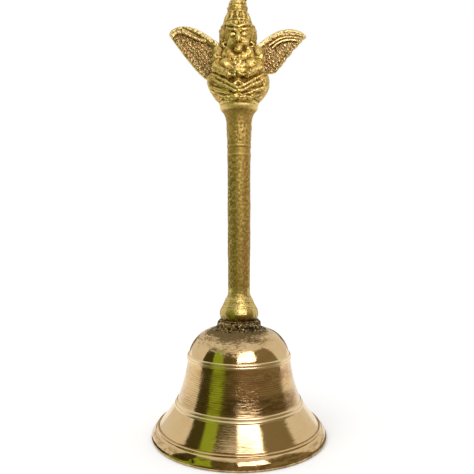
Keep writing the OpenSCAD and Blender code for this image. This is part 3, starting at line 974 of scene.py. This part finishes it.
def feed(socket, value):
    """Links a value to a socket, or sets the socket to a constant; None leaves it alone."""
    if isinstance(value, Value):
        socket.id_data.links.new(value.socket, socket)
    elif value is not None:
        socket.default_value = value


class Shader:
    """A material's node tree, built up one node at a time, with its colour laid on in coats."""

    def __init__(self, name, color):
        self.material = bpy.data.materials.new(name)
        self.material.use_nodes = True
        self.tree = self.material.node_tree
        self.surface = self.tree.nodes["Principled BSDF"]
        self.place = self.node("TexCoord", {}, "Object")
        self.color = (*color, 1)

    def node(self, kind, inputs, output=0, **settings):
        """Adds a node with its settings and inputs, and gives one of its outputs."""
        made = self.tree.nodes.new("ShaderNode" + kind)
        for name, setting in settings.items():
            setattr(made, name, setting)
        for name, value in inputs.items():
            feed(made.inputs[name], value)
        return Value(self, made.outputs[output])

    def attribute(self, name):
        return self.node("Attribute", {}, "Fac", attribute_name=name)

    def stretched(self, x, y, z):
        return self.node("VectorMath", {0: self.place, 1: (x, y, z)}, operation="MULTIPLY")

    def noise(self, size_mm, detail=3.0, rough=0.55, twist=0.0, at=None):
        inputs = {"Vector": at or self.place, "Scale": 1 / (size_mm * MM), "Detail": detail,
                  "Roughness": rough, "Distortion": twist}
        return self.node("TexNoise", inputs, "Fac")

    def coat(self, share, color):
        """Lays another colour over the surface, as thickly as share says."""
        self.color = self.node("Mix", {0: share, 6: self.color, 7: (*color, 1)}, 2, data_type="RGBA")

    def bump(self, height, depth_mm, strength=1.0, below=None):
        inputs = {"Strength": strength, "Distance": depth_mm * MM, "Height": height, "Normal": below}
        return self.node("Bump", inputs)

    def finish(self, roughness, normal=None, metallic=1.0, specular=None):
        inputs = {"Base Color": self.color, "Roughness": roughness, "Normal": normal, "Metallic": metallic,
                  "Specular IOR Level": specular}
        for name, value in inputs.items():
            feed(self.surface.inputs[name], value)
        return self.material


WAIST, UPPER_WAIST, FLARE = (0.0144, 0.0284), (0.0231, 0.0286), (0.0040, 0.0119)
STAINED_WAIST, SCUFFED_WAIST = (0.0150, 0.0195), (0.0146, 0.0200)
LOWER_RINGS, UPPER_RINGS = (0.0122, 0.0142), (0.0291, 0.0313)
BULB_TOP = 0.0556


def polar(s):
    """Distance from the axis, height, and the two shares of the direction from the axis."""
    x, y, z = s.place.parts()
    flat = (x * x + y * y).maths("SQRT").most(1e-5)
    return flat, z, x / flat, y / flat


def drawn_noise(s, turn, reach_mm, size_mm, detail, rough):
    """Noise that is drawn out round the axis; a smaller reach draws it out further."""
    flat, z, across, front = turn
    reach = reach_mm * MM
    at = s.node("CombineXYZ", {"X": across * reach, "Y": front * reach, "Z": z - flat})
    return s.noise(size_mm, detail, rough, at=at)


def soot_cover(s, turn):
    """Scorching round the boss: dark against it, then a speckled veil that thins out over the dome."""
    flat, z, across, front = turn
    wander = drawn_noise(s, turn, 8.0, 3.0, 5.0, 0.65) - 0.5
    reach = flat + wander * 0.012 + across * 0.0012 + (front * 0.0050 + 0.0024)
    speck = drawn_noise(s, turn, 9.0, 0.7, 4.0, 0.75)
    near = reach.span(0.0140, 0.0116) * speck.span(0.58, 0.50, 0.5, 1.0)
    veil = reach.span(0.0163, 0.0128) * speck.span(0.54, 0.46, 0.05, 1.0)
    caked = reach.span(0.0122, 0.0108)
    cover = near.most(veil * 0.85).most(caked * 0.95)
    return cover.maths("MULTIPLY", z.span(0.0325, 0.035), clamp=True)


def color_waist(s, turn, waist, upper_waist, streak):
    """Tool marks, browning and reddish tarnish, mostly at the front."""
    _, z, across, front = turn
    wave = (z * 8900 + streak * 6.0).maths("SINE")
    s.coat(wave.span(-0.2, 0.95) * (waist * 0.34 + 0.05), (0.30, 0.17, 0.055))
    s.coat(waist * streak.span(0.3, 0.65, 0.0, 0.3), (0.44, 0.27, 0.10))
    facing = across * 0.45 - front * 0.9
    tarnish = drawn_noise(s, turn, 11.0, 2.6, 5.0, 0.7).span(0.45, 0.57)
    stained = upper_waist.most(z.band(*STAINED_WAIST, 0.0012))
    tarnish = tarnish * stained * facing.span(0.2, 0.95, 0.25, 1.0) * wave.span(-0.8, 0.6, 0.6, 1.0)
    s.coat(tarnish * 0.70, (0.36, 0.15, 0.07))
    scuffed = z.band(*SCUFFED_WAIST, 0.0010) * facing.span(0.68, 0.90)
    s.coat(scuffed * streak.span(0.42, 0.56, 0.45, 0.95), (0.27, 0.17, 0.07))


def turned_brass():
    """Polished brass with lathe rings, a browned waist, satin ring beads with a painted highlight, a worn rim
    and a scorched crown.
    """
    s = Shader("turned_brass", (0.80, 0.575, 0.29))
    turn = polar(s)
    z = turn[1]
    fine, streak = drawn_noise(s, turn, 1.5, 0.28, 2.0, 0.6), drawn_noise(s, turn, 4.0, 0.7, 3.0, 0.6)
    s.coat(s.noise(8.0, 4.0, 0.6).span(0.38, 0.66), (0.77, 0.52, 0.25))
    waist, upper_waist = z.band(*WAIST, 0.0012), z.band(*UPPER_WAIST, 0.0030)
    color_waist(s, turn, waist, upper_waist, streak)
    rings = z.band(*UPPER_RINGS, 0.0002).most(z.band(*LOWER_RINGS, 0.0002))
    # Painted highlight: the ring beads are painted paler, for the bright reflection they catch all round.
    s.coat(rings * 0.8, (0.92, 0.70, 0.40))
    soot = soot_cover(s, turn)
    s.coat(soot * 0.92, (0.060, 0.036, 0.010))
    s.coat(s.noise(0.9, 1.0).span(0.76, 0.80) * 0.8, (0.09, 0.05, 0.02))
    stain = z.span(0.0040, 0.0032) * drawn_noise(s, turn, 14.0, 1.8, 5.0, 0.7).span(0.46, 0.60)
    s.coat(stain * 0.6, (0.26, 0.15, 0.055))
    worn = z.span(0.0019, 0.0005) * s.noise(0.9, 4.0, 0.7).span(0.42, 0.56)
    s.coat(worn * 0.5, (0.24, 0.14, 0.055))
    roughness = waist * 0.05 + 0.08
    for mask, more in ((upper_waist, 0.09), (rings, 0.20), (soot, 0.80), (worn, 0.25)):
        roughness = roughness.maths("ADD", mask * more, clamp=True)
    chatter = waist * 0.028 + 0.010
    lines = s.bump(fine, chatter, 0.8)
    wide = s.bump(streak, chatter * 2.4, 0.8, lines)
    brushed = s.noise(0.5, 3.0, 0.6, at=s.stretched(1, 1, 0.12))
    drawn = s.bump(brushed, z.band(*FLARE, 0.0010) * 0.014, 0.8, wide)
    return s.finish(roughness, drawn, soot * -0.9 + 1.0, specular=0.03)


def inner_brass():
    """The same casting inside the cup, turned coarsely and left to darken."""
    s = Shader("inner_brass", (0.55, 0.36, 0.14))
    rings = drawn_noise(s, polar(s), 1.2, 0.5, 3.0, 0.6)
    cloud = s.noise(7.0, 5.0, 0.65, 0.6)
    s.coat(cloud.span(0.35, 0.65), (0.27, 0.17, 0.06))
    s.coat(rings.span(0.4, 0.75, 0.0, 0.5), (0.16, 0.09, 0.03))
    return s.finish(cloud.span(0.3, 0.7, 0.34, 0.55), s.bump(rings, 0.06, 0.7))


def paint_shaft_reflection(s):
    """Painted reflection: olive and darker on one side of the shaft, yellow at the front and reddish on the
    other side, as the room's dark, olive and brown sides would mirror in it.
    """
    across = polar(s)[2] + (s.noise(2.6, 4.0, 0.65) - 0.5) * 0.9
    s.coat(across.span(-0.9, -0.05), (0.44, 0.29, 0.055))
    s.coat(across.span(0.1, 0.6, 0.0, 0.9), (0.46, 0.26, 0.055))


def color_handle_ends(s, mottle, bulb, dark):
    """The rubbed bulb with scale at its foot, the warmer flare and a painted highlight along its rim."""
    height = s.place.parts()[2]
    s.coat(bulb * mottle.span(0.40, 0.60, 0.3, 0.95), (0.80, 0.60, 0.20))
    s.coat(height.span(0.0478, 0.0442) * mottle.span(0.38, 0.58, 0.4, 1.0), dark)
    s.coat(height.span(0.1035, 0.1060, 0.0, 0.5), (0.64, 0.43, 0.12))
    # Painted highlight: the flare's rim is painted bright, as if lit from above.
    s.coat(height.span(0.1222, 0.1232) * 0.9, (0.97, 0.76, 0.30))


def cast_brass(name, bright, middle, dark, reach, speckle_and_glints, rough_to, handle=False):
    """Sand-cast brass: bright where hands and files rub it, olive on the flats, and dark in the hollows,
    partly patina and partly painted shade.
    reach is how deep a hollow or high spot is, in mm, and speckle is the share of fine dark grains and of
    painted glints."""
    # On the handle the base is the dark olive of the shaft's one side, part of the painted reflection across
    # the shaft.
    s = Shader(name, (0.25, 0.185, 0.020) if handle else middle)
    hollow = s.attribute("hollow")
    mottle, sand = s.noise(1.1, 5.0, 0.7), s.noise(0.42, 3.0, 0.65)
    if handle:
        paint_shaft_reflection(s)
    s.coat(s.noise(4.5, 4.0, 0.6, 0.5).span(0.36, 0.66, 0.0, 0.3), [0.6 * share for share in middle])
    warm = s.noise(4.0, 4.0, 0.6, 0.8, s.stretched(1, 1, 0.45))
    s.coat(warm.span(0.48, 0.62, 0.0, 0.6), (0.47, 0.23, 0.085))
    rubbed = (hollow + (mottle - 0.5) * (-0.8 * reach)).span(-0.10 * reach, -0.85 * reach)
    s.coat(rubbed * 0.85, bright)
    # Darker in the hollows: partly patina, partly painted shade where less light falls.
    grime_and_shade = (hollow + (mottle - 0.5) * reach).span(0.15 * reach, 1.1 * reach)
    s.coat(grime_and_shade * 0.88, dark)
    s.coat(sand.span(0.52, 0.66, 0.0, speckle_and_glints), dark)
    # Painted glints: small bright specks of painted highlight.
    s.coat(s.noise(0.5, 2.0, 0.5).span(0.54, 0.66, 0.0, 0.9 * speckle_and_glints), bright)
    # Painted sheen: the wing's rolled edge is painted brighter.
    s.coat(s.attribute("painted_sheen") * mottle.span(0.36, 0.56, 0.1, 0.5), bright)
    roughness = mottle.span(0.3, 0.7, rough_to - 0.12, rough_to) + grime_and_shade * 0.15
    roughness = roughness.maths("SUBTRACT", rubbed * 0.08, clamp=True)
    if handle:
        bulb = s.place.parts()[2].band(FOOT_Z * MM, BULB_TOP, 0.0010)
        roughness = roughness.maths("SUBTRACT", bulb * 0.24, clamp=True)
        color_handle_ends(s, mottle, bulb, dark)
    return s.finish(roughness, s.bump(mottle, 0.16, 0.55, s.bump(sand, 0.10, 0.7)))


def scorched_brass():
    """Brazed metal under black scale, with bright grains where it shows through."""
    s = Shader("scorched_brass", (0.024, 0.014, 0.004))
    coarse, fine = s.noise(1.6, 5.0, 0.7), s.noise(0.8, 3.0, 0.7)
    s.coat(coarse.span(0.42, 0.58), (0.13, 0.085, 0.024))
    s.coat(s.attribute("hollow").span(-0.03, -0.12) * 0.7, (0.46, 0.33, 0.13))
    grains = fine.span(0.54, 0.62)
    s.coat(grains * 0.9, (0.72, 0.52, 0.24))
    skin = s.bump(fine, 0.14, 0.8, s.bump(coarse, 0.2, 0.5))
    return s.finish(coarse.span(0.3, 0.7, 0.62, 0.40), skin, grains * 0.8 + 0.15, specular=0.06)


def worn_metal(name, bright, dull, grime_and_shade, smears, dull_from, drawn, roughness):
    """Wire or bar that is dull in smears, with drawn lines along it, and grime and painted shade darkening
    its hollows.
    """
    s = Shader(name, bright)
    smear = s.noise(*smears)
    s.coat(smear.span(dull_from, dull_from + 0.3), dull)
    # Darker in the hollows: grime and painted shade.
    s.coat(s.attribute("hollow").span(0.02, 0.12, 0.0, 0.8), grime_and_shade)
    squeeze, size_mm = drawn
    lines = s.noise(size_mm, 3.0, at=s.stretched(1, 1, squeeze))
    return s.finish(smear.span(0.3, 0.7, *roughness), s.bump(lines, 0.03, 0.5))


# ---------- pieces ----------

def linked(name, data):
    """A new object in the scene's own collection."""
    made = bpy.data.objects.new(name, data)
    bpy.context.scene.collection.objects.link(made)
    return made


def store(mesh, name, values):
    mesh.attributes.new(name, "FLOAT", "POINT").data.foreach_set("value", values.astype(np.float32))


def piece(name, form, material, body, node, rounds=(6, 40), sharp=None):
    """Makes one piece, ties it to its body and hides its CAD node. form is points and faces, and perhaps the
    end caps and where a painted sheen goes."""
    points, faces, ends, painted_sheen = (*form, *([], None)[len(form) - 2:])
    mesh = bpy.data.meshes.new(name)
    mesh.from_pydata((points * MM).tolist(), [], faces.tolist() + ends)
    mesh.shade_smooth()
    if sharp is not None:
        mesh.set_sharp_from_angle(angle=math.radians(sharp))
    depth = sum(hollows(points, faces, r) for r in rounds)
    depth[np.abs(depth) > 3] = 0
    store(mesh, "hollow", depth)
    if painted_sheen is not None:
        store(mesh, "painted_sheen", painted_sheen)
    mesh.materials.append(material)
    made = linked(name, mesh)
    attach(made, body)
    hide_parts(node)
    return made


def build_casting():
    """The boss, its brazing, the handle, the figure and the wings."""
    scorched = scorched_brass()
    handle_metal = cast_brass("handle_brass", (0.66, 0.50, 0.15), (0.42, 0.285, 0.055), (0.14, 0.08, 0.015),
                              0.07, 0.45, 0.68, handle=True)
    figure_metal = cast_brass("figure_brass", (0.90, 0.70, 0.23), (0.62, 0.40, 0.085), (0.18, 0.085, 0.02),
                              0.22, 0.14, 0.52)
    wing_metal = cast_brass("wing_brass", (0.95, 0.74, 0.30), (0.45, 0.285, 0.11), (0.18, 0.09, 0.04),
                            0.20, 0.12, 0.48)
    piece("crown_boss_cast", make_boss(), scorched, "bell", "crown_boss", (5,))
    for name, form in (("crown_braze", make_braze(CUP_H, CROWN_RUN, 41)),
                       ("neck_braze", make_braze(FOOT_Z, NECK_RUN, 52))):
        piece(name + "_run", form, scorched, "bell", name, (5,))
    piece("handle_cast", make_handle(), handle_metal, "bell", "handle")
    piece("winged_figure_cast", sculpt_figure(), figure_metal, "bell", "winged_figure",
          (4, 14, 50))
    for side, name in zip(SIDES, ("left_wing", "right_wing")):
        piece(name + "_cast", sculpt_wing(side), wing_metal, "bell", name, (5, 60))


def build():
    """All the pieces, each in the place of its CAD node."""
    turned_metal = turned_brass()
    steel = worn_metal("plain_steel", (0.50, 0.49, 0.47), (0.30, 0.27, 0.23), (0.12, 0.08, 0.05),
                       (2.2, 4.0, 0.6), 0.4, (0.2, 0.3), (0.30, 0.5))
    wire = worn_metal("brass_wire", (0.66, 0.46, 0.19), (0.36, 0.22, 0.08), (0.12, 0.07, 0.03),
                      (2.4, 4.0, 0.6, 0.5), 0.38, (0.25, 0.25), (0.26, 0.42))
    cup = piece("bell_cup_turned", make_cup(), turned_metal, "bell", "bell_cup")
    cup.data.materials.append(inner_brass())
    mark_inside(cup.data)
    build_casting()
    for node, kind, make, sharp in (("eye_bolt", "_threaded", make_eye_bolt, None),
                                    ("crown_washer", "_stamped", make_washer, 35),
                                    ("jam_nut", "_hex", make_nut, 25)):
        piece(node + kind, make(), steel, "bell", node, sharp=sharp)
    piece("link_ring_wire", make_link_ring(), wire, "link", "link_ring")
    piece("clapper_rod_forged", make_clapper_rod(), wire, "clapper", "clapper_rod")
    piece("clapper_ball_turned", make_ball(), turned_metal, "clapper", "clapper_ball")


def mark_inside(mesh):
    """Gives the cup's inner faces the darker material, from just inside the rim upwards."""
    centre, normal = (np.zeros(len(mesh.polygons) * 3) for _ in range(2))
    mesh.polygons.foreach_get("center", centre)
    mesh.polygons.foreach_get("normal", normal)
    centre, normal = centre.reshape(-1, 3), normal.reshape(-1, 3)
    inward = (centre[:, :2] * normal[:, :2]).sum(axis=1) < 0
    under = (normal[:, 2] < -0.5) & (centre[:, 2] > 0.02)
    mesh.polygons.foreach_set("material_index", (inward & (centre[:, 2] > 0.001) | under).astype(np.int32))


# ---------- the studio ----------

WALL_R = 0.25
TOP_ANGLE = 50
WALL_TOP = WALL_R * math.tan(math.radians(TOP_ANGLE))
FLOOR_REACH = 6.0


def glow(name, color, strength):
    """A material that gives light of its own."""
    material = bpy.data.materials.new(name)
    material.use_nodes = True
    tree = material.node_tree
    tree.nodes.clear()
    light = tree.nodes.new("ShaderNodeEmission")
    light.inputs["Color"].default_value = (*color, 1)
    light.inputs["Strength"].default_value = strength
    out = tree.nodes.new("ShaderNodeOutputMaterial")
    tree.links.new(light.outputs[0], out.inputs["Surface"])
    return material


def stage_mesh(name, corners, faces, material):
    mesh = bpy.data.meshes.new(name)
    mesh.from_pydata(corners, [], faces)
    mesh.materials.append(material)
    made = linked(name, mesh)
    return made


def card(name, start, end, profile, color, strength=1):
    """A curved card seen only in reflections. Its sides are given as degrees from the front towards +X, at
    the foot and at the top of the room."""
    steps = max(2, math.ceil((end[0] - start[0]) / 3))
    corners, faces = [], []
    for i in range(steps + 1):
        low, high = (start[k] + (end[k] - start[k]) * i / steps for k in (0, 1))
        for r, z in profile:
            angle = math.radians(low + (high - low) * z / WALL_TOP)
            corners.append((r * math.sin(angle), -r * math.cos(angle), z))
    rows = len(profile)
    for i, k in np.ndindex(steps, rows - 1):
        a = i * rows + k
        faces.append((a, a + 1, a + rows + 1, a + rows))
    made = stage_mesh(name, corners, faces, glow(name, color, strength))
    made.visible_camera = False
    made.visible_diffuse = False
    made.visible_shadow = False
    made.visible_transmission = False


def rise(low, high):
    """The part of the card wall between two heights of view, in degrees."""
    return [(WALL_R, WALL_R * math.tan(math.radians(e))) for e in (low, high)]


def make_room():
    """Cards for what the cup mirrors: dark walls, something olive, a window and a brown wall."""
    ground = [(0.0335, 0.0004), (WALL_R, 0.0006)]
    wall = ground + rise(0.2, TOP_ANGLE)
    card("dark_left", (-84, -84), (-54, -66), wall, (0.060, 0.056, 0.018))
    card("olive_left", (-54, -66), (-29, -43), wall, (0.30, 0.44, 0.04))
    card("dark_middle", (-29, -43), (-15, -14), wall, (0.11, 0.095, 0.035))
    card("brown_middle", (-15, -14), (-4, -2), wall, (0.15, 0.13, 0.065))
    card("window_foot", (-4, -2), (37, 39), ground + rise(0.2, 27), (0.235, 0.175, 0.10))
    card("window", (-4, -2), (37, 39), rise(27, TOP_ANGLE), (1, 1, 1.12), 4.2)
    card("brown_right", (37, 39), (96, 78), wall, (0.24, 0.20, 0.115))
    card("dark_back_a", (150, 150), (170, 170), rise(0.2, 16), (0.22, 0.17, 0.11))
    card("dark_back_b", (200, 200), (215, 215), rise(0.2, 16), (0.22, 0.17, 0.11))


def make_world():
    """Even white light, a little brighter to the camera than on the object."""
    world = bpy.data.worlds.new("pale_room")
    world.use_nodes = True
    tree = world.node_tree
    back = tree.nodes["Background"]
    rays = tree.nodes.new("ShaderNodeLightPath")
    level = tree.nodes.new("ShaderNodeMapRange")
    level.inputs["To Min"].default_value = 0.78
    level.inputs["To Max"].default_value = 1.0
    tree.links.new(rays.outputs["Is Camera Ray"], level.inputs["Value"])
    tree.links.new(level.outputs[0], back.inputs["Strength"])
    back.inputs["Color"].default_value = (1, 1, 1, 1)
    bpy.context.scene.world = world


def make_floor():
    s = Shader("pale_floor", (0.90, 0.90, 0.895))
    s.coat(s.noise(60, 2.0), (0.92, 0.92, 0.915))
    material = s.finish(0.9, metallic=0.0, specular=0.0)
    corners = [(x * FLOOR_REACH, y * FLOOR_REACH, 0) for x, y in ((-1, -1), (1, -1), (1, 1), (-1, 1))]
    stage_mesh("floor", corners, [(0, 1, 2, 3)], material)


def make_light():
    """A broad soft light from above and in front, which the metal doesn't mirror."""
    data = bpy.data.lights.new("soft_sky", "SUN")
    data.energy = 1.4
    data.angle = math.radians(60)
    made = linked("soft_sky", data)
    made.rotation_euler = Vector((0.3, 0.5, -1.0)).to_track_quat("-Z", "Y").to_euler()
    made.visible_glossy = False


def make_camera():
    """A close camera at about half the bell's height, so that the crown's top is cut off."""
    data = bpy.data.cameras.new("view")
    data.lens = 39.49
    data.sensor_width = 36.0
    data.clip_start = 0.01
    made = linked("view", data)
    made.location = (0, -0.1976, 0.0784)
    aim = Vector((-0.00076, 0, 0.07498))
    made.rotation_euler = (aim - made.location).to_track_quat("-Z", "Y").to_euler()
    bpy.context.scene.camera = made


def make_studio():
    make_world()
    make_floor()
    make_room()
    make_light()
    make_camera()
    bpy.context.scene.view_settings.view_transform = "Standard"


build()
make_studio()
